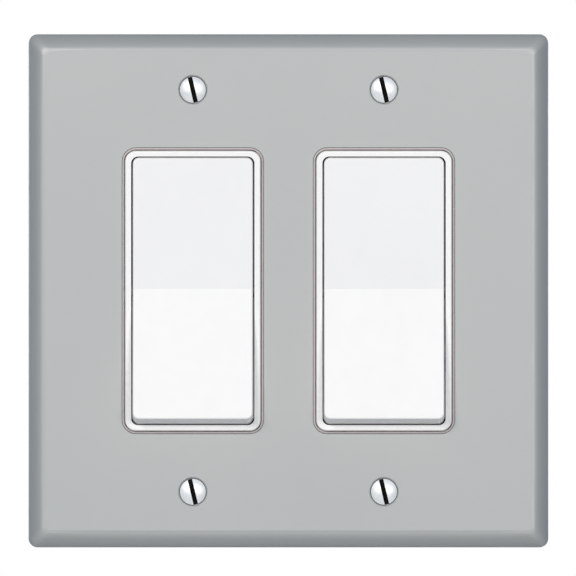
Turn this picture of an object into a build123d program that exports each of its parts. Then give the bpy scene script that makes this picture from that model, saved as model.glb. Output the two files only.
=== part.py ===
from build123d import *
from math import cos, radians, sin, sqrt, tan
import os

# A two-gang rocker wall switch: two rocker switches side by side behind one cover plate.
# +X is right, +Y goes into the wall and +Z is up. The wall's surface is y = 0.
# Each device is built round its own centre line, x = gang.

# Centre distances set by the wiring-device standard
GANG_PITCH = 46.04
PLATE_SCREW_PITCH = 96.84
BOX_SCREW_PITCH = 83.34

# Cover plate: a convex sloping band runs between the flat face and the side walls. Its outline is
# three arcs, each given by its radius and its slope to the face where it starts and ends.
PLATE_WIDTH, PLATE_HEIGHT = 125.4, 123.8
PLATE_CORNER, FACE_CORNER = 2.2, 1.3
PLATE_FRONT = -6.0
PLATE_SKIN = 2.2
PLATE_RIM = 2.8
BAND_ARCS = ((0.6, 90, 65), (11.8, 65, 43), (2.2, 43, 0))
BAND_STEPS = 3
OPENING_WIDTH, OPENING_HEIGHT = 34.2, 69.0
OPENING_CORNER = 3.4
OPENING_LIP = 0.1
RIB, RIB_X, RIB_Z = 1.2, 50.5, 56.5
COLLAR = 1.6
COLLAR_BACK, RIB_BACK, BOSS_BACK = -3.4, -0.4, -1.35

# Cover screws, #6-32 oval head, whose heads sit a little below the rims of their countersinks
SINK_ANGLE, SINK_R = 82, 3.6
SCREW_HEAD_R = 3.35
SCREW_DOME = 1.1
SCREW_R = 1.70
SCREW_TIP = 6.7
SLOT_WIDTH, SLOT_DEPTH, SLOT_LEAN = 1.1, 1.35, 13.4
SCREW_CHAMFER = 0.5

# Strap, a flat steel yoke whose back lies on the wall
STRAP_THICK = 1.3
STRAP_LENGTH = 106.4
STRAP_WIDTH, STRAP_BODY = 39.2, 84.0
EAR_WIDTH, EAR_HEIGHT = 42.0, 15.2
WINDOW_WIDTH, WINDOW_HEIGHT = 32.4, 67.8
BOX_SLOT, BOX_SLOT_WIDTH = 6.4, 4.2
TAPPED_R = 1.78
SCORE_X, SCORE_Z, SCORE_WIDTH = 11.0, 44.6, 1.4
TAB_OUT, TAB_DEEP, TAB_CUT = 19.6, 11.0, 2.5
TAB_LOW, TAB_HIGH = -34.0, -24.0

# Bezel: a ring that stands proud of the plate, and a ledge that fills the plate's opening and slopes
# up towards the ring, with a narrow groove between the two
LEDGE_FRONT, LEDGE_CREST = -5.85, -6.35
LEDGE_SLOPE = 0.3
GROOVE, GROOVE_DEEP = 0.35, 1.4
LEDGE_WIDTH, LEDGE_HEIGHT, LEDGE_CORNER = 34.0, 68.8, 3.3
RING_FRONT = -6.9
RING_WIDTH, RING_HEIGHT = 32.6, 67.4
RING_CORNER = 2.6
RING_INSIDE_W, RING_INSIDE_H = 29.7, 64.7
RING_LIP = 1.3
RING_EDGE = 0.4
RELIEF_W, RELIEF_H = 30.2, 65.7
FLANGE_FRONT = -2.8
FLANGE_WIDTH, FLANGE_HEIGHT = 36.5, 76.6
NOTCH_WIDTH, NOTCH_DEEP = 11.0, 2.3
SKIRT_BACK = 2.5
SKIRT_WIDTH = 32.0
BEARING_R = 1.55

# Rocker, which turns about an axis along X. Each half of its face lies at TILT to the wall when
# it is level, so the half that is pressed in lies parallel to the wall.
PIVOT_Y = -0.9
TILT = 4.0
FACE_OUT = 6.3
ROCKER_WIDTH = 28.9
ROCKER_END_R = 32.56
ROCKER_SKIN, ROCKER_SIDE = 1.5, 1.2
APRON, APRON_FRONT, APRON_END_R = 0.35, -0.3, 31.06
ROCKER_BACK = -1.5
ROCKER_CORNER = 1.5
TRUNNION_R, TRUNNION_END = 1.5, 15.85
POST_R, POST_REACH = 3.2, 9.4
POST_BORE_R, POST_BORE_TOP = 2.05, 0.4

# Plunger and its spring, measured from the rocker's axis towards the contact arm
PLUNGER_R, TIP_R, TIP_CENTRE = 1.98, 1.5, 12.47
PLUNGER_BACK = 5.6
SPRING_R, SPRING_WIRE_R, SPRING_TURNS = 1.5, 0.175, 6

# Housing
HOUSING_BACK = 24.5
HOUSING_FLOOR = 22.4
HOUSING_WIDTH, HOUSING_HEIGHT = 36.4, 76.8
CAVITY_WIDTH, CAVITY_HEIGHT = 32.6, 67.8
RIVET_X, RIVET_Z, RIVET_R = 13.2, 36.1, 1.3
WIRE_X, WIRE_Z, WIRE_R, WIRE_TOP = 13.2, 26.0, 1.15, 12.5

# Contact arm, a see-saw that turns about an axis along X
ARM_Y = 13.6
ARM_TILT = 5.0
ARM_WIDTH, ARM_LENGTH, ARM_THICK = 7.0, 34.0, 1.0
ARM_PIN_R, ARM_PIN_END = 0.8, 5.4
CONTACT_Z, CONTACT_R, CONTACT_THICK = 15.0, 2.2, 0.9
FIXED_FRONT, SEAT_FRONT = 16.352, 17.4

# Side terminals and their #8-32 screws
BRASS = 0.9
CRADLE_X = 4.05
TERMINAL_Z, TERMINAL_Y = 18.0, 11.0
TERMINAL_HALF = 3.6
TERMINAL_IN, TERMINAL_OUT = 15.2, 16.1
CLAMP_IN, CLAMP_OUT = 16.9, 18.1
WIRE_SCREW_R, WIRE_HEAD_R = 2.08, 4.2
GROUND_Y, GROUND_Z = 5.8, -29.0

# Box screws, #6-32 by 3/4 inch, and their washers
BOX_HEAD_R, BOX_HEAD_THICK = 3.5, 2.2
BOX_NECK_R, BOX_THREAD_R = 1.6, 1.7526
BOX_THREAD_START, BOX_TIP = 0.95, 17.75
WASHER_R, WASHER_THICK = 3.1, 0.8


def facing(x, y):
    """A plane parallel to the wall, seen from the room: across it is +X and up it is +Z."""
    return Plane(origin=(x, y, 0), x_dir=(1, 0, 0), z_dir=(0, -1, 0))


def side_on(x):
    """A plane square to the wall, seen from the right: across it is +Y and up it is +Z."""
    return Plane(origin=(x, 0, 0), x_dir=(0, 1, 0), z_dir=(1, 0, 0))


def block(x, y, z, mode=Mode.ADD):
    """Adds a box, or cuts one, between a low and a high place along each axis."""
    with Locations(((x[0] + x[1]) / 2, (y[0] + y[1]) / 2, (z[0] + z[1]) / 2)):
        Box(x[1] - x[0], y[1] - y[0], z[1] - z[0], mode=mode)


def rod(plane, places, radius, length, mode=Mode.ADD):
    """Adds round rods, or drills holes, that start on a plane and follow its normal."""
    with BuildSketch(plane) as ends:
        with Locations(*places):
            Circle(radius)
    extrude(ends.sketch, amount=length, mode=mode)


def corners(x, z):
    """The four places at plus and minus x and z."""
    return [(-x, -z), (x, -z), (-x, z), (x, z)]


def finish(piece, label):
    """Names a piece and writes it to its file."""
    piece.label = label
    export_step(piece, f"parts/{label}.step")


def band_outline():
    """Steps across the plate's band from the side wall to the face: how far in, and how far out."""
    inset, out = 0.0, 0.0
    steps = [(inset, out)]
    for radius, start, end in BAND_ARCS:
        for i in range(BAND_STEPS):
            a = radians(start + (end - start) * i / BAND_STEPS)
            b = radians(start + (end - start) * (i + 1) / BAND_STEPS)
            inset += radius * (sin(a) - sin(b))
            out += radius * (cos(b) - cos(a))
            steps.append((inset, out))
    return steps


def make_wall_plate():
    band = band_outline()
    edge_front = PLATE_FRONT + band[-1][1]
    back = PLATE_FRONT + PLATE_SKIN
    inside_w = PLATE_WIDTH - 2 * PLATE_RIM
    inside_h = PLATE_HEIGHT - 2 * PLATE_RIM
    half_gang = GANG_PITCH / 2
    with BuildPart() as plate:
        with BuildSketch(facing(0, 0)):
            RectangleRounded(PLATE_WIDTH, PLATE_HEIGHT, PLATE_CORNER)
        extrude(amount=-edge_front)
        for inset, out in band:
            corner = PLATE_CORNER + (FACE_CORNER - PLATE_CORNER) * inset / band[-1][0]
            with BuildSketch(facing(0, edge_front - out)):
                RectangleRounded(PLATE_WIDTH - 2 * inset, PLATE_HEIGHT - 2 * inset, corner)
        loft()
        # Openings for the two devices, with rounded lips
        with BuildSketch(facing(0, back)):
            with GridLocations(GANG_PITCH, 1, 2, 1):
                RectangleRounded(OPENING_WIDTH, OPENING_HEIGHT, OPENING_CORNER)
        extrude(amount=PLATE_SKIN, mode=Mode.SUBTRACT)
        front = plate.edges().filter_by_position(Axis.Y, PLATE_FRONT - 0.01, PLATE_FRONT + 0.01)
        lips = front.filter_by(lambda e: abs(e.center().X) < 45 and abs(e.center().Z) < 40)
        fillet(lips, OPENING_LIP)
        # Hollow back, then its collars, ribs and screw bosses
        with BuildSketch(facing(0, 0)):
            RectangleRounded(inside_w, inside_h, 1.0)
        extrude(amount=-back, mode=Mode.SUBTRACT)
        with BuildSketch(facing(0, COLLAR_BACK)):
            with GridLocations(GANG_PITCH, 1, 2, 1):
                RectangleRounded(
                    OPENING_WIDTH + 2 * COLLAR, OPENING_HEIGHT + 2 * COLLAR, OPENING_CORNER + COLLAR
                )
                RectangleRounded(
                    OPENING_WIDTH, OPENING_HEIGHT, OPENING_CORNER, mode=Mode.SUBTRACT
                )
        extrude(amount=COLLAR_BACK - back + 0.2)
        with BuildSketch(facing(0, RIB_BACK)):
            for x in (-RIB_X, 0, RIB_X):
                with Locations((x, 0)):
                    Rectangle(RIB, inside_h + 0.4)
            for z in (-RIB_Z, RIB_Z):
                with Locations((0, z)):
                    Rectangle(inside_w + 0.4, RIB)
        extrude(amount=RIB_BACK - back + 0.2)
        with BuildSketch(facing(0, RIB_BACK)):
            with GridLocations(GANG_PITCH / 2, inside_h - 2.6, 5, 2):
                Rectangle(RIB, 3.0)
            with GridLocations(inside_w - 8.0, 24.0, 2, 5):
                Rectangle(8.4, RIB)
        extrude(amount=RIB_BACK - back + 0.2)
        places = corners(half_gang, PLATE_SCREW_PITCH / 2)
        rod(facing(0, BOSS_BACK), places, 3.0, BOSS_BACK - back + 0.2)
        with Locations(facing(0, PLATE_FRONT)):
            with Locations(*places):
                CounterSinkHole(
                    radius=1.9, counter_sink_radius=SINK_R, counter_sink_angle=SINK_ANGLE
                )
    return plate.part


def turned(points, slot_width, slot_depth, lean):
    """A screw turned about the Y axis from its half outline, with a slot across its head."""
    with BuildPart() as screw:
        with BuildSketch(Plane.XY):
            with BuildLine():
                Polyline(*points, close=True)
            make_face()
        revolve(axis=Axis.Y)
        head = min(point[1] for point in points)
        with BuildSketch(facing(0, head + slot_depth)):
            Rectangle(slot_width, 30, rotation=lean)
        extrude(amount=slot_depth + 1, mode=Mode.SUBTRACT)
    return screw.part


def make_plate_screws():
    dome_r = (SCREW_HEAD_R**2 + SCREW_DOME**2) / (2 * SCREW_DOME)
    sink = tan(radians(SINK_ANGLE / 2))
    rim = PLATE_FRONT + (SINK_R - SCREW_HEAD_R) / sink
    seat = rim + (SCREW_HEAD_R - SCREW_R) / sink
    crown = rim - SCREW_DOME
    with BuildPart() as screw:
        with BuildSketch(Plane.XY):
            with BuildLine():
                Line((0, crown), (0, SCREW_TIP))
                Line((0, SCREW_TIP), (SCREW_R - SCREW_CHAMFER, SCREW_TIP))
                Line((SCREW_R - SCREW_CHAMFER, SCREW_TIP), (SCREW_R, SCREW_TIP - SCREW_CHAMFER))
                Line((SCREW_R, SCREW_TIP - SCREW_CHAMFER), (SCREW_R, seat))
                Line((SCREW_R, seat), (SCREW_HEAD_R, rim))
                RadiusArc((SCREW_HEAD_R, rim), (0, crown), dome_r)
            make_face()
        revolve(axis=Axis.Y)
        with BuildSketch(facing(0, crown + SLOT_DEPTH)):
            Rectangle(SLOT_WIDTH, 10, rotation=SLOT_LEAN)
        extrude(amount=SLOT_DEPTH + 1, mode=Mode.SUBTRACT)
    with BuildPart() as screws:
        for x, z in corners(GANG_PITCH / 2, PLATE_SCREW_PITCH / 2):
            with Locations((x, 0, z)):
                add(screw.part)
    return screws.part


def make_strap(gang):
    with BuildPart() as strap:
        with BuildSketch(facing(gang, 0)):
            Rectangle(STRAP_WIDTH, STRAP_BODY)
            for z in (-(STRAP_LENGTH - EAR_HEIGHT) / 2, (STRAP_LENGTH - EAR_HEIGHT) / 2):
                with Locations((0, z)):
                    RectangleRounded(EAR_WIDTH, EAR_HEIGHT, 2.5)
            RectangleRounded(WINDOW_WIDTH, WINDOW_HEIGHT, 1.0, mode=Mode.SUBTRACT)
            with GridLocations(1, BOX_SCREW_PITCH, 1, 2):
                SlotOverall(BOX_SLOT, BOX_SLOT_WIDTH, mode=Mode.SUBTRACT)
            with GridLocations(1, PLATE_SCREW_PITCH, 1, 2):
                Circle(TAPPED_R, mode=Mode.SUBTRACT)
            with Locations(*corners(RIVET_X, RIVET_Z)):
                Circle(RIVET_R + 0.1, mode=Mode.SUBTRACT)
            # Score notches where the plaster ears break off
            with Locations(*corners(SCORE_X, STRAP_LENGTH / 2)):
                SlotOverall(4.0, SCORE_WIDTH, rotation=90, mode=Mode.SUBTRACT)
            with Locations(*corners(SCORE_X, SCORE_Z)):
                SlotOverall(5.0, SCORE_WIDTH, rotation=90, mode=Mode.SUBTRACT)
        extrude(amount=STRAP_THICK)
        # Ground tab, bent back along the housing's left side
        left = gang - TAB_OUT
        with BuildSketch(side_on(left)):
            with BuildLine():
                Polyline(
                    (-STRAP_THICK, TAB_LOW),
                    (TAB_DEEP - TAB_CUT, TAB_LOW),
                    (TAB_DEEP, TAB_LOW + TAB_CUT),
                    (TAB_DEEP, TAB_HIGH - TAB_CUT),
                    (TAB_DEEP - TAB_CUT, TAB_HIGH),
                    (-STRAP_THICK, TAB_HIGH),
                    close=True,
                )
            make_face()
            with Locations((GROUND_Y, GROUND_Z)):
                Circle(WIRE_SCREW_R + 0.04, mode=Mode.SUBTRACT)
        extrude(amount=STRAP_THICK)
    return strap.part


def make_bezel(gang):
    rivet_places = corners(RIVET_X, RIVET_Z)
    with BuildPart() as bezel:
        with BuildSketch(facing(gang, FLANGE_FRONT)):
            RectangleRounded(RING_WIDTH, RING_HEIGHT, RING_CORNER)
        extrude(amount=FLANGE_FRONT - RING_FRONT)
        fillet(bezel.faces().sort_by(Axis.Y)[0].edges(), RING_EDGE)
        with BuildSketch(facing(gang, FLANGE_FRONT)):
            RectangleRounded(LEDGE_WIDTH, LEDGE_HEIGHT, LEDGE_CORNER)
        extrude(amount=FLANGE_FRONT - LEDGE_FRONT)
        for y, inset in ((LEDGE_FRONT, 0.0), (LEDGE_CREST, LEDGE_SLOPE)):
            with BuildSketch(facing(gang, y)):
                RectangleRounded(
                    LEDGE_WIDTH - 2 * inset, LEDGE_HEIGHT - 2 * inset, LEDGE_CORNER - inset
                )
        loft()
        with BuildSketch(facing(gang, LEDGE_CREST + GROOVE_DEEP)):
            RectangleRounded(
                RING_WIDTH + 2 * GROOVE, RING_HEIGHT + 2 * GROOVE, RING_CORNER + GROOVE
            )
            RectangleRounded(RING_WIDTH, RING_HEIGHT, RING_CORNER, mode=Mode.SUBTRACT)
        extrude(amount=GROOVE_DEEP, mode=Mode.SUBTRACT)
        rod(facing(gang, FLANGE_FRONT), rivet_places, 2.5, 0.7, Mode.SUBTRACT)
        with BuildSketch(facing(gang, -STRAP_THICK)):
            RectangleRounded(FLANGE_WIDTH, FLANGE_HEIGHT, 1.5)
            with GridLocations(1, FLANGE_HEIGHT, 1, 2):
                Rectangle(NOTCH_WIDTH, 2 * NOTCH_DEEP, mode=Mode.SUBTRACT)
        extrude(amount=-STRAP_THICK - FLANGE_FRONT)
        with BuildSketch(facing(gang, SKIRT_BACK)):
            RectangleRounded(SKIRT_WIDTH, RING_HEIGHT, 1.5)
        extrude(amount=SKIRT_BACK + STRAP_THICK)
        # The passage for the rocker is narrower at the lip than behind it
        with BuildSketch(facing(gang, SKIRT_BACK)):
            RectangleRounded(RING_INSIDE_W, RING_INSIDE_H, 1.7)
        extrude(amount=SKIRT_BACK - RING_FRONT, mode=Mode.SUBTRACT)
        with BuildSketch(facing(gang, SKIRT_BACK)):
            RectangleRounded(RELIEF_W, RELIEF_H, 1.2)
        extrude(amount=SKIRT_BACK - RING_FRONT - RING_LIP, mode=Mode.SUBTRACT)
        # Bearings for the trunnions, and the rivet holes
        bearing_end = TRUNNION_END + 0.25
        rod(side_on(gang - bearing_end), [(PIVOT_Y, 0)], BEARING_R, 2 * bearing_end, Mode.SUBTRACT)
        rod(facing(gang, 0), rivet_places, RIVET_R + 0.1, 3, Mode.SUBTRACT)
    return bezel.part


def rocker_plane(gang, tilt):
    """The rocker's cross-section: across it is out of the wall and up it is +Z, turned by tilt."""
    out = (0, -cos(radians(tilt)), -sin(radians(tilt)))
    return Plane(origin=(gang, PIVOT_Y, 0), x_dir=out, z_dir=(-1, 0, 0))


def outward_plane(gang, reach):
    """A plane across the rocker's post, facing the room, at a reach behind the rocker's axis."""
    a = radians(-TILT)
    origin = (gang, PIVOT_Y + reach * cos(a), reach * sin(a))
    return Plane(origin=origin, x_dir=(1, 0, 0), z_dir=(0, -cos(a), -sin(a)))


def rocker_section(face_out, end_r, back):
    """Outline of the paddle: a shallow V in front, arcs about the axis at both ends."""
    slope = tan(radians(TILT))
    # Where the sloping face meets the end arc: (f + slope z)^2 + z^2 = r^2
    f = face_out / cos(radians(TILT))
    q = 1 + slope**2
    z = (-f * slope + sqrt((f * slope) ** 2 - q * (f**2 - end_r**2))) / q
    v = f + slope * z
    foot = sqrt(end_r**2 - back**2)
    with BuildSketch() as section:
        with BuildLine():
            Polyline((v, -z), (f, 0), (v, z))
            RadiusArc((v, z), (back, foot), -end_r)
            Line((back, foot), (back, -foot))
            RadiusArc((back, -foot), (v, -z), -end_r)
        make_face()
    return section.sketch


def make_rocker(gang):
    section = rocker_plane(gang, -TILT)
    half = ROCKER_WIDTH / 2
    out = Vector(*section.x_dir)
    with BuildPart() as rocker:
        with BuildSketch(section):
            add(rocker_section(FACE_OUT, ROCKER_END_R, ROCKER_BACK))
        extrude(amount=half, both=True)
        ends = rocker.edges().filter_by(GeomType.CIRCLE)
        fillet(ends.filter_by(lambda e: abs(abs(e.center().X - gang) - half) < 0.01), ROCKER_CORNER)
        crease = rocker.edges().filter_by(lambda e: (e.center() - section.origin).length < 7)
        faces = rocker.faces().filter_by(
            lambda f: f.geom_type == GeomType.PLANE and f.normal_at().dot(out) > 0.99
        )
        rim = [e for face in faces for e in face.edges() if (e.center() - section.origin).length > 8]
        assert len(crease) == 1
        fillet(rim, 0.4)
        # Apron that stands out behind the bezel's lip and closes the gap at both sides
        with BuildSketch(section):
            add(rocker_section(APRON_FRONT, APRON_END_R, ROCKER_BACK))
        extrude(amount=half + APRON, both=True)
        # Hollow back
        with BuildSketch(section):
            add(
                rocker_section(
                    FACE_OUT - ROCKER_SKIN, ROCKER_END_R - ROCKER_SIDE, ROCKER_BACK - 1
                )
            )
        extrude(amount=half - ROCKER_SIDE, both=True, mode=Mode.SUBTRACT)
        # Stiffening ribs run from the post to both ends and both sides
        with BuildSketch(section):
            with Locations((FACE_OUT - ROCKER_SKIN - 1.0, 0)):
                Rectangle(3.0, 2 * (ROCKER_END_R - 1.5))
        extrude(amount=0.6, both=True)
        for x in (-7.5, 7.5):
            with BuildSketch(rocker_plane(gang + x, -TILT)):
                with Locations((FACE_OUT - ROCKER_SKIN, 0)):
                    Rectangle(1.6, 2 * (ROCKER_END_R - 2.2))
            extrude(amount=0.5, both=True)
        # Ears and trunnions
        for ear_start in (gang - half, gang + half - ROCKER_SIDE):
            with BuildSketch(side_on(ear_start)):
                with Locations((PIVOT_Y, 0)):
                    Circle(3.0)
            extrude(amount=ROCKER_SIDE)
        for start in (gang - TRUNNION_END, gang + half - 0.5):
            rod(side_on(start), [(PIVOT_Y, 0)], TRUNNION_R, TRUNNION_END - half + 0.5)
        # Post with the plunger's bore
        rod(outward_plane(gang, POST_REACH), [(0, 0)], POST_R, POST_REACH + FACE_OUT - 1.0)
        bore_depth = POST_REACH - POST_BORE_TOP
        rod(outward_plane(gang, POST_REACH), [(0, 0)], POST_BORE_R, bore_depth, Mode.SUBTRACT)
    return rocker.part


def make_plunger(gang):
    neck = TIP_CENTRE - 1.1
    with BuildPart() as plunger:
        rod(outward_plane(gang, neck), [(0, 0)], PLUNGER_R, neck - PLUNGER_BACK)
        shoulder = plunger.faces().sort_by(Axis.Y)[-1].edges()
        chamfer(shoulder, 0.3)
        rod(outward_plane(gang, TIP_CENTRE), [(0, 0)], TIP_R, 1.3)
        with Locations(outward_plane(gang, TIP_CENTRE)):
            Sphere(TIP_R)
    return plunger.part


def make_spring(gang):
    length = PLUNGER_BACK - POST_BORE_TOP - 2 * SPRING_WIRE_R - 0.1
    start = outward_plane(gang, PLUNGER_BACK - SPRING_WIRE_R - 0.05)
    with BuildPart() as spring:
        with BuildLine() as coil:
            Helix(
                pitch=length / SPRING_TURNS,
                height=length,
                radius=SPRING_R,
                center=start.origin,
                direction=start.z_dir,
            )
        with BuildSketch(Plane(origin=coil.line @ 0, z_dir=coil.line % 0)):
            Circle(SPRING_WIRE_R)
        sweep(path=coil.line)
    return spring.part


def make_housing(gang):
    half_w, half_cavity = HOUSING_WIDTH / 2, CAVITY_WIDTH / 2
    with BuildPart() as housing:
        with BuildSketch(facing(gang, HOUSING_BACK)):
            RectangleRounded(HOUSING_WIDTH, HOUSING_HEIGHT, 2.0)
        extrude(amount=HOUSING_BACK)
        fillet(housing.faces().sort_by(Axis.Y)[-1].edges(), 1.0)
        with BuildSketch(facing(gang, 0)):
            RectangleRounded(CAVITY_WIDTH, CAVITY_HEIGHT, 1.0)
        extrude(amount=-HOUSING_FLOOR, mode=Mode.SUBTRACT)
        floor = (HOUSING_FLOOR - 0.1, HOUSING_FLOOR + 0.1)
        # Guides for the push-in wires
        for z in (-WIRE_Z, WIRE_Z):
            guide_x = (gang + WIRE_X - 3.0, gang + half_cavity + 0.1)
            block(guide_x, (WIRE_TOP, floor[1]), (z - 3.0, z + 3.0))
        # Seat under the load terminal, and the stop for the arm's other end
        block((gang - 3.0, gang + 3.0), (SEAT_FRONT + BRASS, floor[1]), (-17.0, -13.0))
        block((gang - 2.0, gang + 2.0), (15.75, floor[1]), (14.0, 16.0))
        # Blind boss behind the ground screw
        boss_x = (gang - half_cavity - 0.1, gang - half_cavity + 2.3)
        block(boss_x, (3.2, 9.4), (GROUND_Z - 3.0, GROUND_Z + 3.0))
        pocket = half_w - half_cavity + 1.2
        rod(
            side_on(gang - half_w - 0.1),
            [(GROUND_Y, GROUND_Z)],
            WIRE_SCREW_R + 0.25,
            pocket + 0.1,
            Mode.SUBTRACT,
        )
        # Windows for the side terminals
        for z in (-TERMINAL_Z, TERMINAL_Z):
            window_x = (gang + half_cavity - 0.1, gang + half_w + 0.1)
            block(window_x, (5.6, 16.6), (z - 4.7, z + 4.7), mode=Mode.SUBTRACT)
        # Push-in wire holes, each with a release slot beside it
        wire_places = [(WIRE_X, -WIRE_Z), (WIRE_X, WIRE_Z)]
        rod(facing(gang, HOUSING_BACK), wire_places, WIRE_R, 12.1, Mode.SUBTRACT)
        with BuildSketch(facing(gang, HOUSING_BACK)):
            with Locations((WIRE_X - 4.6, -WIRE_Z), (WIRE_X - 4.6, WIRE_Z)):
                Rectangle(1.2, 3.2)
        extrude(amount=1.4, mode=Mode.SUBTRACT)
        # Strip gauge, a shallow groove as long as the bared wire should be
        with BuildSketch(facing(gang, HOUSING_BACK)):
            with Locations((-4.0, 0)):
                SlotOverall(12.7, 1.8, rotation=90)
        extrude(amount=0.5, mode=Mode.SUBTRACT)
        # Rivet holes, sunk at the back for the rolled ends
        rivet_places = corners(RIVET_X, RIVET_Z)
        rod(facing(gang, HOUSING_BACK), rivet_places, RIVET_R + 0.1, HOUSING_BACK, Mode.SUBTRACT)
        rod(facing(gang, HOUSING_BACK), rivet_places, 2.5, 0.9, Mode.SUBTRACT)
        # Shallow moulded panels lighten both long sides of the back
        with BuildSketch(facing(gang, HOUSING_BACK)):
            with Locations((-11.0, -20.0), (-11.0, 20.0)):
                RectangleRounded(9.0, 17.0, 1.0)
        extrude(amount=0.6, mode=Mode.SUBTRACT)
    return housing.part


def arm_plane(gang):
    """Across the contact arm, facing the room, at its own tilt."""
    a = radians(ARM_TILT)
    return Plane(origin=(gang, ARM_Y, 0), x_dir=(1, 0, 0), z_dir=(0, -cos(a), -sin(a)))


def make_contact_arm(gang):
    with BuildPart() as arm:
        with BuildSketch(arm_plane(gang)):
            RectangleRounded(ARM_WIDTH, ARM_LENGTH, 1.5)
        extrude(amount=ARM_THICK / 2, both=True)
        for start in (gang - ARM_PIN_END, gang + 3.0):
            rod(side_on(start), [(ARM_Y, 0)], ARM_PIN_R, ARM_PIN_END - 3.0)
    return arm.part


def make_moving_contact(gang):
    with BuildPart() as contact:
        back = arm_plane(gang).offset(-ARM_THICK / 2 - CONTACT_THICK)
        rod(back, [(0, -CONTACT_Z)], CONTACT_R, CONTACT_THICK)
        chamfer(contact.faces().sort_by(Axis.Y)[-1].edges(), 0.15)
    return contact.part


def make_fixed_contact(gang):
    height = 0.5
    centre_z = -CONTACT_Z * cos(radians(ARM_TILT)) + 0.122
    with BuildPart() as contact:
        with BuildSketch(Plane.XY):
            with BuildLine():
                Polyline(
                    (0, FIXED_FRONT), (0, SEAT_FRONT), (CONTACT_R, SEAT_FRONT),
                    (CONTACT_R, FIXED_FRONT + height),
                )
                dome_r = (CONTACT_R**2 + height**2) / (2 * height)
                RadiusArc((CONTACT_R, FIXED_FRONT + height), (0, FIXED_FRONT), dome_r)
            make_face()
        revolve(axis=Axis.Y)
    return contact.part.moved(Location((gang, 0, centre_z)))


def make_line_terminal(gang):
    inner, outer = CRADLE_X, CRADLE_X + BRASS
    base = (HOUSING_FLOOR - BRASS, HOUSING_FLOOR)
    low, high = TERMINAL_Z - TERMINAL_HALF, TERMINAL_Z + TERMINAL_HALF
    with BuildPart() as terminal:
        block((gang - outer, gang + outer), base, (-4.0, 4.0))
        block((gang + inner, gang + 8.0), base, (-4.0, high))
        block((gang + inner, gang + TERMINAL_OUT), base, (low, high))
        block((gang + TERMINAL_IN, gang + TERMINAL_OUT), (6.4, HOUSING_FLOOR), (low, high))
        # Cradle ears, notched for the arm's pins
        for ear_x in ((gang - outer, gang - inner), (gang + inner, gang + outer)):
            block(ear_x, (12.5, HOUSING_FLOOR), (-2.4, 2.4))
            notch = ARM_PIN_R + 0.05
            block(ear_x, (12.0, ARM_Y), (-notch, notch), mode=Mode.SUBTRACT)
            rod(side_on(ear_x[0]), [(ARM_Y, 0)], notch, BRASS, Mode.SUBTRACT)
        rod(
            side_on(gang + TERMINAL_IN),
            [(TERMINAL_Y, TERMINAL_Z)],
            WIRE_SCREW_R + 0.04,
            BRASS,
            Mode.SUBTRACT,
        )
    return terminal.part


def make_load_terminal(gang):
    seat = (SEAT_FRONT, SEAT_FRONT + BRASS)
    low, high = -TERMINAL_Z - TERMINAL_HALF, -TERMINAL_Z + TERMINAL_HALF
    with BuildPart() as terminal:
        block((gang - 3.0, gang + TERMINAL_OUT), seat, (-18.0, -12.2))
        block((gang + TERMINAL_IN - 4.0, gang + TERMINAL_OUT), seat, (low, -12.2))
        block((gang + TERMINAL_IN, gang + TERMINAL_OUT), (6.4, seat[1]), (low, high))
        rod(
            side_on(gang + TERMINAL_IN),
            [(TERMINAL_Y, -TERMINAL_Z)],
            WIRE_SCREW_R + 0.04,
            BRASS,
            Mode.SUBTRACT,
        )
    return terminal.part


def make_clamps(gang):
    with BuildPart() as clamps:
        for z in (-TERMINAL_Z, TERMINAL_Z):
            with BuildSketch(side_on(gang + CLAMP_IN)):
                with Locations((TERMINAL_Y, z)):
                    RectangleRounded(8.6, 8.6, 0.8)
                    Circle(WIRE_SCREW_R + 0.2, mode=Mode.SUBTRACT)
            extrude(amount=CLAMP_OUT - CLAMP_IN)
    return clamps.part


def make_terminal_screws(gang):
    head = (CLAMP_OUT + 0.05, CLAMP_OUT + 2.3)
    with BuildPart() as screws:
        for z in (-TERMINAL_Z, TERMINAL_Z):
            place = [(TERMINAL_Y, z)]
            rod(side_on(gang + head[0]), place, WIRE_HEAD_R, head[1] - head[0])
            rod(side_on(gang + 10.0), place, WIRE_SCREW_R, head[0] - 10.0)
            slot_x = (gang + head[1] - 1.0, gang + head[1] + 0.1)
            along, across = (TERMINAL_Y - 5, TERMINAL_Y + 5), (TERMINAL_Y - 0.6, TERMINAL_Y + 0.6)
            block(slot_x, along, (z - 0.6, z + 0.6), mode=Mode.SUBTRACT)
            block(slot_x, across, (z - 2.4, z + 2.4), mode=Mode.SUBTRACT)
    return screws.part


def make_ground_screw(gang):
    face = gang - TAB_OUT - 0.02
    with BuildPart() as screw:
        with BuildSketch(side_on(face - 2.4)):
            with Locations((GROUND_Y, GROUND_Z)):
                RegularPolygon(4.4, 6)
        extrude(amount=1.9)
        rod(side_on(face - 0.6), [(GROUND_Y, GROUND_Z)], 4.7, 0.6)
        rod(side_on(face), [(GROUND_Y, GROUND_Z)], WIRE_SCREW_R, 3.9)
        slot_x = (face - 2.5, face - 1.4)
        reach = (GROUND_Y - 5, GROUND_Y + 5)
        block(slot_x, reach, (GROUND_Z - 0.6, GROUND_Z + 0.6), mode=Mode.SUBTRACT)
    return screw.part


def make_rivets(gang):
    places = corners(RIVET_X, RIVET_Z)
    end = HOUSING_BACK - 0.1
    with BuildPart() as rivets:
        rod(facing(gang, FLANGE_FRONT), places, 2.3, 0.5)
        rod(facing(gang, end), places, RIVET_R, end - FLANGE_FRONT)
        rod(facing(gang, end), places, 2.3, 0.75)
        rod(facing(gang, end), places, 0.7, 2.0, Mode.SUBTRACT)
    return rivets.part


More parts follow.
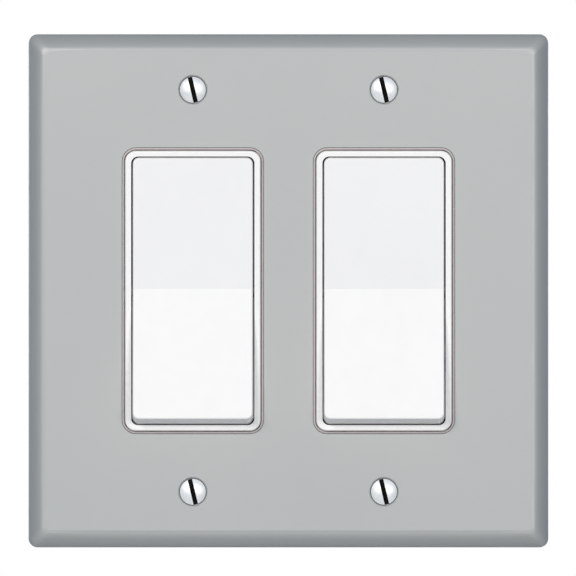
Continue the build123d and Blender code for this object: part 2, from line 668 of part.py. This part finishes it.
def make_box_screws(gang):
    crown = -STRAP_THICK - BOX_HEAD_THICK
    points = [
        (0, crown),
        (BOX_HEAD_R - 1.2, crown),
        (BOX_HEAD_R, crown + 1.0),
        (BOX_HEAD_R, -STRAP_THICK - 0.02),
        (BOX_NECK_R, -STRAP_THICK - 0.02),
        (BOX_NECK_R, BOX_THREAD_START),
        (BOX_THREAD_R, BOX_THREAD_START),
        (BOX_THREAD_R, BOX_TIP - 0.5),
        (BOX_THREAD_R - 0.5, BOX_TIP),
        (0, BOX_TIP),
    ]
    screw = turned(points, 1.1, 1.2, 35)
    with BuildPart() as screws:
        with Locations((gang, 0, -BOX_SCREW_PITCH / 2), (gang, 0, BOX_SCREW_PITCH / 2)):
            add(screw)
    return screws.part


def make_retainers(gang):
    with BuildPart() as washers:
        with BuildSketch(facing(gang, WASHER_THICK)):
            with GridLocations(1, BOX_SCREW_PITCH, 1, 2):
                Circle(WASHER_R)
                Circle(BOX_NECK_R + 0.05, mode=Mode.SUBTRACT)
        extrude(amount=WASHER_THICK)
    return washers.part


DEVICE_PIECES = {
    "bezel_frame": make_bezel,
    "mounting_strap": make_strap,
    "rear_body": make_housing,
    "rocker": make_rocker,
    "plunger": make_plunger,
    "toggle_spring": make_spring,
    "contact_arm": make_contact_arm,
    "moving_contact": make_moving_contact,
    "fixed_contact": make_fixed_contact,
    "line_terminal": make_line_terminal,
    "load_terminal": make_load_terminal,
    "terminal_clamps": make_clamps,
    "terminal_screws": make_terminal_screws,
    "ground_screw": make_ground_screw,
    "rivets": make_rivets,
    "box_screws": make_box_screws,
    "screw_retainers": make_retainers,
}

os.makedirs("parts", exist_ok=True)
finish(make_wall_plate(), "wall_plate")
finish(make_plate_screws(), "plate_screws")
for side, gang_x in (("left", -GANG_PITCH / 2), ("right", GANG_PITCH / 2)):
    for piece_name, make_piece in DEVICE_PIECES.items():
        finish(make_piece(gang_x), f"{piece_name}_{side}")
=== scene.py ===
from math import cos, pi, radians, sin, sqrt, tan

import bmesh
import bpy
from mathutils import Matrix, Vector


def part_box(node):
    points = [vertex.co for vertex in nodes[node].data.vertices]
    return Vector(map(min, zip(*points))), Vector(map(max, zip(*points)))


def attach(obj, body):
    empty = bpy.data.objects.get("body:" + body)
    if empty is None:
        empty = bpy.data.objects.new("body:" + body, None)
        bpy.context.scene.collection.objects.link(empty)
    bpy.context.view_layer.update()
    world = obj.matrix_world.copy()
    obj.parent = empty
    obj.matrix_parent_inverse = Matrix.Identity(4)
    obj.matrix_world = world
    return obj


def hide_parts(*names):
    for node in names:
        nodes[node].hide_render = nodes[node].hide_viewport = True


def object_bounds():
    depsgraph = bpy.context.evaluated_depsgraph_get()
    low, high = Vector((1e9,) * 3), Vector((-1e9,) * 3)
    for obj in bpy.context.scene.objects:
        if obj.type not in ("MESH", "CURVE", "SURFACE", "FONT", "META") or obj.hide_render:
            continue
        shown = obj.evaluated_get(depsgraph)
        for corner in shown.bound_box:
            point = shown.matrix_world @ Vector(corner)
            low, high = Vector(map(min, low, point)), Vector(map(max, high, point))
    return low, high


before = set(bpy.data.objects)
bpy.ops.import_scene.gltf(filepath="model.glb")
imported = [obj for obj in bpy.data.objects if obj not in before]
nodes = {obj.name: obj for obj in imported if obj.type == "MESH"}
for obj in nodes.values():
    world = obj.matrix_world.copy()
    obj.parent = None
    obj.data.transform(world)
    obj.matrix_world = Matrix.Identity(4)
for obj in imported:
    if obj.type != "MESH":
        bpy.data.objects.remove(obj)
cad_low, cad_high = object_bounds()
SIDES = ("left", "right")
MM = 0.001

# The stage is in metres, apart from the camera's sensor. The first lines are how much of the object's
# plane the picture covers, and the point at its centre.
VIEW_WIDTH = 0.1384
VIEW_X, VIEW_Z = -0.0001, 0.00068
CAMERA_DISTANCE = 2.4
CAMERA_REACH = 50
SENSOR = 36.0

# The floor lies this far under the plate
FLOOR_DROP = 0.6
FLOOR_RADIUS, FLOOR_SIDES = 1.1, 96

# The room lights the object, and the camera sees the plain ground in its place
ROOM_COLOR, ROOM_STRENGTH = (0.36, 0.62, 0.98, 1), 0.165
GROUND_COLOR, GROUND_STRENGTH = (1, 1, 1, 1), 1.0

# Soft round lamps about the switch, each with its azimuth, elevation, size and power. The gloss is a
# small one that the paddles' lower halves mirror, and the last two light the back.
LIGHT_DISTANCE = 2.6
LAMP_COLOR = (1.0, 0.97, 0.925)
LIGHTS = {
    "key": (-27, 21, 1.1, 33.5),
    "right": (27, 9, 1.1, 24),
    "gloss": (0, 17, 0.5, 9),
    "back_left": (-150, 8, 0.9, 13),
    "back_right": (150, 10, 0.9, 11),
}


# ---- Materials -------------------------------------------------------------------------------

# Nearly all the values of a texture lie between these
TEXTURE_LOW, TEXTURE_HIGH = 0.3, 0.7

RIM_WHITE = (0.94, 0.93, 0.92)
PADDLE_WHITE = (0.885, 0.88, 0.875)
SECOND_SHADE = 0.985
WHITE_ROUGH_SPREAD = 0.03

# The painted shade in the seam round the ring, standing in for the ring's shadow: its tone, and the
# places along Y where it starts and where it is full
SEAM_SHADE_TONE = (0.74, 0.68, 0.67, 1)
SEAM_SHADE_TOP, SEAM_SHADE_FULL = -6.55 * MM, -6.40 * MM


class Surface:
    """A Principled material with helpers that build its texture nodes in object space."""

    def __init__(self, name, rough, metallic=0.0, **fixed):
        self.material = bpy.data.materials.new(name)
        self.material.use_nodes = True
        self.tree = self.material.node_tree
        self.shader = self.tree.nodes["Principled BSDF"]
        self.place = self.node("ShaderNodeTexCoord").outputs["Object"]
        self.feed(self.shader, Roughness=rough, Metallic=metallic, **fixed)

    def feed(self, node, **sockets):
        """Links a node's inputs to other sockets, or sets them to numbers and colours."""
        for name, value in sockets.items():
            target = node.inputs[name.replace("_", " ")]
            if isinstance(value, bpy.types.NodeSocket):
                self.tree.links.new(value, target)
            else:
                target.default_value = value

    def node(self, kind, **sockets):
        """Adds a node and feeds its inputs."""
        made = self.tree.nodes.new(kind)
        self.feed(made, **sockets)
        return made

    def stretched(self, scale):
        """Object coordinates in millimetres; a scale under 1 draws a texture out along its axis."""
        scale = [s / MM for s in scale]
        return self.node("ShaderNodeMapping", Vector=self.place, Scale=scale).outputs["Vector"]

    def noise(self, per_mm, detail=3.0, stretch=(1, 1, 1)):
        """Noise with this many grains to a millimetre."""
        place = self.stretched(stretch)
        found = self.node("ShaderNodeTexNoise", Vector=place, Scale=per_mm, Detail=detail)
        return found.outputs["Fac"]

    def cells(self, per_mm):
        """Cells of random tone, this many to a millimetre."""
        place = self.stretched((1, 1, 1))
        return self.node("ShaderNodeTexVoronoi", Vector=place, Scale=per_mm).outputs["Color"]

    def ramp(self, value, low, high):
        """Spreads a texture value over a range."""
        spread = self.node("ShaderNodeMapRange", Value=value, From_Min=TEXTURE_LOW,
                           From_Max=TEXTURE_HIGH, To_Min=low, To_Max=high)
        return spread.outputs["Result"]

    def blend(self, factor, first, second):
        """Colours the surface between two colours by a factor from 0 to 1."""
        mix = self.node("ShaderNodeMix")
        mix.data_type = "RGBA"
        self.feed(mix, Factor=factor, A=first, B=second)
        self.feed(self.shader, Base_Color=mix.outputs["Result"])

    def color(self, value, first, second):
        """Shades the surface between two colours by a texture value."""
        self.blend(self.ramp(value, 0.0, 1.0), (*first, 1.0), (*second, 1.0))

    def roughness(self, value, low, high):
        self.feed(self.shader, Roughness=self.ramp(value, low, high))

    def bump(self, height, depth_mm, strength, under=None):
        """Raises the surface by a texture value; depth is the height of its tallest grain."""
        found = self.node("ShaderNodeBump", Height=height, Strength=strength)
        self.feed(found, Distance=depth_mm * MM)
        if under is not None:
            self.feed(found, Normal=under)
        self.feed(self.shader, Normal=found.outputs["Normal"])
        return found.outputs["Normal"]


def plate_material():
    """Satin grey, with a fine grain over a faint waviness."""
    s = Surface("grey_satin_plate", 0.45, 0.15)
    s.color(s.noise(0.02, 2.0), (0.455, 0.465, 0.461), (0.469, 0.478, 0.473))
    s.roughness(s.noise(0.15), 0.44, 0.50)
    grain = s.bump(s.noise(6.0, 4.0), 0.006, 0.35)
    s.bump(s.noise(0.35, 2.0), 0.010, 0.25, grain)
    return s.material


def white_surface(name, tint, rough):
    """Smooth white plastic in two close shades, with a faint waviness."""
    s = Surface(name, rough, IOR=1.5)
    shade = tuple(c * SECOND_SHADE for c in tint)
    s.color(s.noise(0.05, 2.0), tint, shade)
    s.roughness(s.noise(0.4), rough - WHITE_ROUGH_SPREAD, rough + WHITE_ROUGH_SPREAD)
    s.bump(s.noise(0.3, 2.0), 0.006, 0.25)
    return s


def bezel_material():
    """White plastic with painted shade in the seam between the ring and the plate, standing in for
    the ring's shadow.
    """
    s = white_surface("white_bezel", RIM_WHITE, 0.28)
    # Painted shade: every part of the bezel deeper in than the ring's front is darkened to a greyer,
    # warmer tone
    depth = s.node("ShaderNodeSeparateXYZ", Vector=s.place).outputs["Y"]
    seam_shade = s.node("ShaderNodeMapRange", Value=depth, From_Min=SEAM_SHADE_TOP, From_Max=SEAM_SHADE_FULL)
    unshaded = s.shader.inputs["Base Color"].links[0].from_socket
    s.blend(seam_shade.outputs["Result"], unshaded, SEAM_SHADE_TONE)
    return s.material


def body_material():
    """Black moulding compound, faintly mottled."""
    s = Surface("moulded_body", 0.55)
    s.color(s.noise(1.2, 5.0), (0.022, 0.022, 0.024), (0.045, 0.045, 0.048))
    s.roughness(s.noise(0.6), 0.45, 0.65)
    s.bump(s.noise(5.0, 4.0), 0.03, 0.4)
    return s.material


def zinc_material():
    """Zinc plating, spangled in cells, with faint streaks across the strap."""
    s = Surface("zinc_plated_steel", 0.35, 1.0, Anisotropic=0.3)
    s.color(s.cells(0.35), (0.50, 0.50, 0.49), (0.68, 0.68, 0.66))
    s.roughness(s.noise(0.8, 4.0), 0.28, 0.45)
    s.bump(s.noise(3.0, 4.0, (0.15, 1, 1)), 0.008, 0.4)
    return s.material


def metal_material(name, dark, light, rough):
    """A drawn or rolled metal in two shades."""
    s = Surface(name, rough, 1.0)
    s.color(s.noise(1.5, 4.0), dark, light)
    s.roughness(s.noise(2.55), rough - 0.06, rough + 0.08)
    s.bump(s.noise(4.5, 4.0), 0.006, 0.35)
    return s.material


def cover_screw_material():
    """Bright nickel plating, with faint upright streaks."""
    s = Surface("nickel_plated_screw", 0.45, 0.35)
    s.color(s.noise(2.5, stretch=(1, 1, 0.12)), (0.88, 0.90, 0.91), (0.97, 0.98, 0.98))
    s.roughness(s.noise(1.5), 0.42, 0.50)
    s.bump(s.noise(5.0, stretch=(1, 1, 0.1)), 0.005, 0.3)
    return s.material


def green_material():
    """Green-dyed plating on the ground screw."""
    s = Surface("green_ground_screw", 0.35, 0.35)
    s.color(s.noise(1.5, 4.0), (0.010, 0.130, 0.040), (0.025, 0.240, 0.080))
    s.roughness(s.noise(2.0), 0.28, 0.45)
    s.bump(s.noise(4.0), 0.008, 0.3)
    return s.material


def fibre_material():
    """Red-brown vulcanized fibre with an upright grain."""
    s = Surface("fibre_washer", 0.9)
    s.color(s.noise(3.0, 6.0, (1, 1, 0.3)), (0.22, 0.085, 0.045), (0.42, 0.20, 0.11))
    s.bump(s.noise(6.0, 6.0, (1, 1, 0.3)), 0.04, 0.6)
    return s.material


def nylon_material():
    """Uncoloured nylon."""
    s = Surface("nylon_plunger", 0.4)
    s.color(s.noise(0.8), (0.70, 0.66, 0.55), (0.78, 0.74, 0.64))
    s.roughness(s.noise(1.0), 0.35, 0.48)
    s.bump(s.noise(2.0), 0.01, 0.3)
    return s.material


def rim_shade_material():
    """Painted shade on the rim of a cover screw's head: a dark ring standing in for the shadow line
    between the head and its countersink.
    """
    s = Surface("painted_shade_screw_rim", 0.5, 0.6)
    s.color(s.noise(3.0), (0.15, 0.16, 0.17), (0.22, 0.23, 0.24))
    s.bump(s.noise(6.0), 0.01, 0.3)
    return s.material


def shadow_material():
    """Painted shade: near-black walls and floor of a cover screw's slot, standing in for the shadow
    in it.
    """
    s = Surface("painted_slot_shade", 0.8, Specular_IOR_Level=0.1)
    s.color(s.noise(4.0), (0.004, 0.004, 0.004), (0.010, 0.010, 0.010))
    s.bump(s.noise(8.0), 0.02, 0.5)
    return s.material


brass = metal_material("terminal_brass", (0.58, 0.37, 0.13), (0.74, 0.52, 0.22), 0.30)
silver = metal_material("silver_contact", (0.72, 0.71, 0.68), (0.86, 0.85, 0.82), 0.28)
zinc = zinc_material()

# The material of every CAD node, under the node's name without its gang
LOOKS = {
    "wall_plate": plate_material(),
    "plate_screws": cover_screw_material(),
    "bezel_frame": bezel_material(),
    "rocker": white_surface("white_rocker", PADDLE_WHITE, 0.36).material,
    "mounting_strap": zinc,
    "terminal_clamps": zinc,
    "rear_body": body_material(),
    "plunger": nylon_material(),
    "toggle_spring": metal_material("spring_wire", (0.32, 0.33, 0.34), (0.50, 0.50, 0.50), 0.32),
    "contact_arm": metal_material("contact_brass", (0.60, 0.36, 0.12), (0.76, 0.50, 0.20), 0.28),
    "moving_contact": silver,
    "fixed_contact": silver,
    "line_terminal": brass,
    "load_terminal": brass,
    "terminal_screws": metal_material("brass_screw", (0.62, 0.42, 0.16), (0.80, 0.60, 0.28), 0.26),
    "ground_screw": green_material(),
    "rivets": metal_material("rivet_steel", (0.46, 0.46, 0.45), (0.66, 0.66, 0.64), 0.34),
    "box_screws": metal_material("plated_screw", (0.52, 0.53, 0.52), (0.70, 0.70, 0.68), 0.30),
    "screw_retainers": fibre_material(),
}


def kind_of(node):
    """A node's name without its gang."""
    for side in SIDES:
        node = node.removesuffix("_" + side)
    return node


def dress_nodes():
    for name, piece in nodes.items():
        piece.data.materials.clear()
        piece.data.materials.append(LOOKS[kind_of(name)])


# ---- Threaded screws -------------------------------------------------------------------------

# All in millimetres, with leans and angles in degrees. A screw is a list of rows, each a distance
# from its crown and a radius there, which may be a function of the turn.
RIGHT, INTO_WALL = Vector((1, 0, 0)), Vector((0, 1, 0))
SEGMENTS = 48
CREASE_ANGLE = 32
CROWN_R = 0.6

PITCH = 0.794
THREAD_DEPTH = 0.45
THREAD_STEPS = 8
ROOT_FLAT, CREST_FLAT = 0.22, 0.15

SLOT_WIDTH = 1.1
# A slot's cutter is longer than any head, and stands clear above the crown
CUTTER_LENGTH, CUTTER_ABOVE = 12, 2.0

# Cover screws: oval heads
COVER_HEAD_R, COVER_DOME, SINK_ANGLE = 3.35, 1.1, 82
COVER_THREAD_R, COVER_NECK_R, COVER_TIP = 1.70, 1.48, 1.2
# The last of these is how wide a band round the head's rim is painted dark as shade
COVER_SLOT_DEPTH, COVER_SLOT_LEAN, COVER_RIM_SHADE = 1.35, 13.4, 0.26

# Box screws: flat heads with a rounded edge
BOX_HEAD_R, BOX_HEAD_THICK, BOX_ROUNDING = 3.5, 2.18, 1.0
BOX_THREAD_R, BOX_NECK_R, BOX_TIP, BOX_THREAD_FROM = 1.75, 1.6, 1.25, 4.45
BOX_SLOT_DEPTH, BOX_SLOT_LEAN = 1.2, 35

# Side wiring screws: the same heads, with a second, short slot across the first
WIRE_HEAD_R, WIRE_HEAD_THICK, WIRE_ROUNDING = 4.2, 2.25, 0.9
WIRE_THREAD_R, WIRE_NECK_R, WIRE_TIP = 2.08, 1.85, 1.55
WIRE_SLOT, WIRE_SLOT_DEPTH, CROSS_SLOT_LENGTH = 1.2, 1.0, 4.8

# Ground screws: a hexagon over a round washer face. Each limit is a distance from the crown and the
# radius at which the hexagon's corners are cut off there. Thread and slot are the wiring screws' own.
HEX_FLAT_R, HEX_TOP_R = 3.81, 3.4
HEX_LIMITS = ((0.18, 3.9), (0.45, 4.2), (0.8, 5.0), (1.8, 5.0))
WASHER_FACE = [(1.85, 4.5), (2.0, 4.7), (2.35, 4.7), (2.4, 4.65)]


def clamped(x):
    return min(max(x, 0.0), 1.0)


def smooth(x):
    x = clamped(x)
    return x * x * (3 - 2 * x)


def thread_rows(start, end, major, neck, tip):
    """Rows down a rolled thread: it rises out of a plain neck, and ends in a chamfered tip."""
    def radius_at(along):
        def radius(turn):
            t = ((along - start) / PITCH - turn) % 1.0
            flank = clamped((abs(2 * t - 1) - ROOT_FLAT) / (1 - ROOT_FLAT - CREST_FLAT))
            cut = major - THREAD_DEPTH * (1 - flank)
            rise = smooth((along - start) / PITCH)
            return min(neck + (cut - neck) * rise, tip + end - along)
        return radius

    steps = round((end - start) / PITCH * THREAD_STEPS)
    places = [start + (end - start) * i / steps for i in range(steps + 1)]
    return [(along, radius_at(along)) for along in places]


def dome_rows(rim, radius, steps=14):
    """Rows down a spherical cap to its rim."""
    ball = (radius**2 + rim**2) / (2 * rim)
    radii = [radius * i / steps for i in range(1, steps + 1)]
    return [(ball - sqrt(ball**2 - r**2), r) for r in radii]


def flat_head_rows(radius, thick, rounding, neck, steps=6):
    """Rows down a flat head with a rounded upper edge, as far as the neck."""
    rows = [(0.0, CROWN_R)]
    for i in range(steps + 1):
        a = pi / 2 * i / steps
        rows.append((rounding * (1 - cos(a)), radius - rounding * (1 - sin(a))))
    return rows + [(thick, radius), (thick, neck)]


def turned_mesh(rows):
    """A closed surface of revolution, in millimetres, along +Z from its crown at the first row."""
    shape = bmesh.new()
    rings = []
    for along, radius in rows:
        ring = []
        for i in range(SEGMENTS):
            turn = i / SEGMENTS
            r = radius(turn) if callable(radius) else radius
            ring.append(shape.verts.new((r * cos(2 * pi * turn), r * sin(2 * pi * turn), along)))
        rings.append(ring)
    for upper, lower in zip(rings, rings[1:]):
        for i in range(SEGMENTS):
            j = (i + 1) % SEGMENTS
            shape.faces.new((upper[i], upper[j], lower[j], lower[i]))
    for ring, along, flip in ((rings[0], rows[0][0], True), (rings[-1], rows[-1][0], False)):
        pole = shape.verts.new((0, 0, along))
        for i in range(SEGMENTS):
            pair = (ring[i], ring[(i + 1) % SEGMENTS])
            shape.faces.new((*(reversed(pair) if flip else pair), pole))
    bmesh.ops.recalc_face_normals(shape, faces=shape.faces)
    return shape


def slot_cutter(width, depth, turn, length=CUTTER_LENGTH):
    """A box across the crown that goes in to a depth."""
    shape = bmesh.new()
    bmesh.ops.create_cube(shape, size=1.0)
    size = Matrix.Diagonal((length, width, depth + CUTTER_ABOVE, 1.0))
    middle = Matrix.Translation((0, 0, depth / 2 - CUTTER_ABOVE / 2))
    place = Matrix.Rotation(turn, 4, "Z") @ middle
    bmesh.ops.transform(shape, matrix=place @ size, verts=shape.verts)
    return shape


def add_object(name, data):
    made = bpy.data.objects.new(name, data)
    bpy.context.scene.collection.objects.link(made)
    return made


def mesh_object(name, shape):
    mesh = bpy.data.meshes.new(name)
    shape.to_mesh(mesh)
    shape.free()
    return add_object(name, mesh)


def slotted(rows, cutters):
    """Turns a screw from its rows, cuts its slots out and gives back its mesh."""
    screw = mesh_object("blank", turned_mesh(rows))
    tools = [mesh_object("cutter", cutter) for cutter in cutters]
    for tool in tools:
        cut = screw.modifiers.new("slot", "BOOLEAN")
        cut.operation = "DIFFERENCE"
        cut.solver = "EXACT"
        cut.object = tool
    seen = screw.evaluated_get(bpy.context.evaluated_depsgraph_get())
    mesh = bpy.data.meshes.new_from_object(seen)
    for made in (screw, *tools):
        bpy.data.objects.remove(made)
    return mesh


def aim(place, along, right):
    """Puts a screw's crown at a place, with its shank along a direction."""
    across = along.cross(right)
    turn = Matrix((right, across, along)).transposed().to_4x4()
    return Matrix.Translation(place) @ turn @ Matrix.Diagonal((MM, MM, MM, 1.0))


def place_screws(node, mesh, places, looks):
    """Joins copies of a screw into one piece that stands for a CAD node."""
    shape = bmesh.new()
    for place in places:
        copy = mesh.copy()
        copy.transform(place)
        shape.from_mesh(copy)
        bpy.data.meshes.remove(copy)
    piece = mesh_object(node + "_threaded", shape)
    for look in looks:
        piece.data.materials.append(look)
    for face in piece.data.polygons:
        face.use_smooth = True
    piece.data.set_sharp_from_angle(angle=radians(CREASE_ANGLE))
    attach(piece, "frame")
    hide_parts(node)


def mark_cover_head(mesh, turn):
    """Gives the slot's walls and floor the second material, painted shade, and the head's rim the
    third, a painted dark shade line.
    """
    across = Vector((-sin(turn), cos(turn), 0))
    margin, wall_facing, floor_facing, head_depth = 0.002, 0.9, 0.99, COVER_SLOT_DEPTH + 1
    for face in mesh.polygons:
        corners = [mesh.vertices[v].co for v in face.vertices]
        inside = all(
            abs(c.dot(across)) < SLOT_WIDTH / 2 + margin and c.z < COVER_SLOT_DEPTH + margin
            for c in corners
        )
        facing = face.normal
        if inside and (abs(facing.dot(across)) > wall_facing or abs(facing.z) > floor_facing):
            face.material_index = 1
        elif face.center.xy.length > COVER_HEAD_R - COVER_RIM_SHADE and face.center.z < head_depth:
            face.material_index = 2


def span(node):
    """A node's low and high corners, and its middle."""
    near, far = (Vector(corner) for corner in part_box(node))
    return near, far, (near + far) / 2


def make_cover_screws():
    near, far, _ = span("plate_screws")
    sink = tan(radians(SINK_ANGLE / 2))
    seat = COVER_DOME + (COVER_HEAD_R - COVER_THREAD_R) / sink
    end = (far.y - near.y) / MM
    rows = dome_rows(COVER_DOME, COVER_HEAD_R) + [(seat, COVER_NECK_R)]
    rows += thread_rows(seat, end, COVER_THREAD_R, COVER_NECK_R, COVER_TIP)
    turn = radians(90 - COVER_SLOT_LEAN)
    mesh = slotted(rows, [slot_cutter(SLOT_WIDTH, COVER_SLOT_DEPTH, turn)])
    mark_cover_head(mesh, turn)
    r = COVER_HEAD_R * MM
    places = [aim(Vector((x, near.y, z)), INTO_WALL, RIGHT)
              for x in (near.x + r, far.x - r) for z in (near.z + r, far.z - r)]
    # The second and third looks are painted shade: in the slot, and round the head's rim
    looks = (LOOKS["plate_screws"], shadow_material(), rim_shade_material())
    place_screws("plate_screws", mesh, places, looks)


def make_box_screws(side):
    node = "box_screws_" + side
    near, far, mid = span(node)
    end = (far.y - near.y) / MM
    rows = flat_head_rows(BOX_HEAD_R, BOX_HEAD_THICK, BOX_ROUNDING, BOX_NECK_R)
    rows += thread_rows(BOX_THREAD_FROM, end, BOX_THREAD_R, BOX_NECK_R, BOX_TIP)
    turn = radians(90 - BOX_SLOT_LEAN)
    mesh = slotted(rows, [slot_cutter(SLOT_WIDTH, BOX_SLOT_DEPTH, turn)])
    r = BOX_HEAD_R * MM
    places = [aim(Vector((mid.x, near.y, z)), INTO_WALL, RIGHT) for z in (near.z + r, far.z - r)]
    place_screws(node, mesh, places, [LOOKS["box_screws"]])


def make_terminal_screws(side):
    node = "terminal_screws_" + side
    near, far, mid = span(node)
    end = (far.x - near.x) / MM
    rows = flat_head_rows(WIRE_HEAD_R, WIRE_HEAD_THICK, WIRE_ROUNDING, WIRE_NECK_R)
    rows += thread_rows(WIRE_HEAD_THICK, end, WIRE_THREAD_R, WIRE_NECK_R, WIRE_TIP)
    cutters = [slot_cutter(WIRE_SLOT, WIRE_SLOT_DEPTH, 0.0),
               slot_cutter(WIRE_SLOT, WIRE_SLOT_DEPTH, pi / 2, CROSS_SLOT_LENGTH)]
    mesh = slotted(rows, cutters)
    r = WIRE_HEAD_R * MM
    places = [aim(Vector((far.x, mid.y, z)), -RIGHT, INTO_WALL) for z in (near.z + r, far.z - r)]
    place_screws(node, mesh, places, [LOOKS["terminal_screws"]])


def hexagon(limit):
    """The radius of a hexagon whose corners are cut off at a limit."""
    def radius(turn):
        return min(HEX_FLAT_R / cos((turn * 2 * pi) % (pi / 3) - pi / 6), limit)
    return radius


def make_ground_screw(side):
    node = "ground_screw_" + side
    near, far, mid = span(node)
    end = (far.x - near.x) / MM
    head_thick = WASHER_FACE[-1][0]
    rows = [(0.0, CROWN_R), (0.0, HEX_TOP_R)]
    rows += [(along, hexagon(limit)) for along, limit in HEX_LIMITS]
    rows += WASHER_FACE + [(head_thick, WIRE_NECK_R)]
    rows += thread_rows(head_thick, end, WIRE_THREAD_R, WIRE_NECK_R, WIRE_TIP)
    mesh = slotted(rows, [slot_cutter(WIRE_SLOT, WIRE_SLOT_DEPTH, 0.0)])
    places = [aim(Vector((near.x, mid.y, mid.z)), RIGHT, INTO_WALL)]
    place_screws(node, mesh, places, [LOOKS["ground_screw"]])


# ---- Stage -----------------------------------------------------------------------------------


def make_floor():
    shape = bmesh.new()
    bmesh.ops.create_circle(shape, cap_ends=True, segments=FLOOR_SIDES, radius=FLOOR_RADIUS)
    floor = mesh_object("floor", shape)
    floor.location = (0, 0, cad_low.z - FLOOR_DROP)
    s = Surface("pale_floor", 0.8)
    s.color(s.noise(0.01), (0.75, 0.74, 0.72), (0.78, 0.77, 0.75))
    floor.data.materials.append(s.material)


def make_light(name, azimuth, elevation, size, power):
    """A soft lamp aimed at the plate: azimuth is to the viewer's right, elevation is up."""
    a, e = radians(azimuth), radians(elevation)
    light = bpy.data.lights.new(name, "AREA")
    light.shape = "DISK"
    light.size = size
    light.energy = power
    light.color = LAMP_COLOR
    lamp = add_object(name, light)
    lamp.location = LIGHT_DISTANCE * Vector((sin(a) * cos(e), -cos(a) * cos(e), sin(e)))
    lamp.rotation_euler = (-lamp.location).to_track_quat("-Z", "Y").to_euler()


def make_world():
    """A soft bluish room, shown to the camera as a plain white ground."""
    world = bpy.data.worlds.new("studio")
    bpy.context.scene.world = world
    world.use_nodes = True
    tree = world.node_tree
    room = tree.nodes["Background"]
    room.inputs["Color"].default_value = ROOM_COLOR
    room.inputs["Strength"].default_value = ROOM_STRENGTH
    ground = tree.nodes.new("ShaderNodeBackground")
    ground.inputs["Color"].default_value = GROUND_COLOR
    ground.inputs["Strength"].default_value = GROUND_STRENGTH
    path = tree.nodes.new("ShaderNodeLightPath")
    mix = tree.nodes.new("ShaderNodeMixShader")
    tree.links.new(path.outputs["Is Camera Ray"], mix.inputs["Fac"])
    tree.links.new(room.outputs["Background"], mix.inputs[1])
    tree.links.new(ground.outputs["Background"], mix.inputs[2])
    tree.links.new(mix.outputs["Shader"], tree.nodes["World Output"].inputs["Surface"])


def make_camera():
    """A camera straight in front of the plate, so far off that there is hardly any perspective."""
    camera = bpy.data.cameras.new("camera")
    camera.sensor_width = SENSOR
    camera.lens = SENSOR * CAMERA_DISTANCE / VIEW_WIDTH
    camera.clip_end = CAMERA_REACH
    eye = add_object("camera", camera)
    eye.location = (VIEW_X, cad_low.y - CAMERA_DISTANCE, VIEW_Z)
    eye.rotation_euler = (radians(90), 0, 0)
    bpy.context.scene.camera = eye


dress_nodes()
make_cover_screws()
for gang in SIDES:
    make_box_screws(gang)
    make_terminal_screws(gang)
    make_ground_screw(gang)
make_floor()
make_world()
for light_name, setting in LIGHTS.items():
    make_light(light_name, *setting)
make_camera()
scene = bpy.context.scene
scene.view_settings.view_transform = "Standard"
scene.view_settings.look = "None"
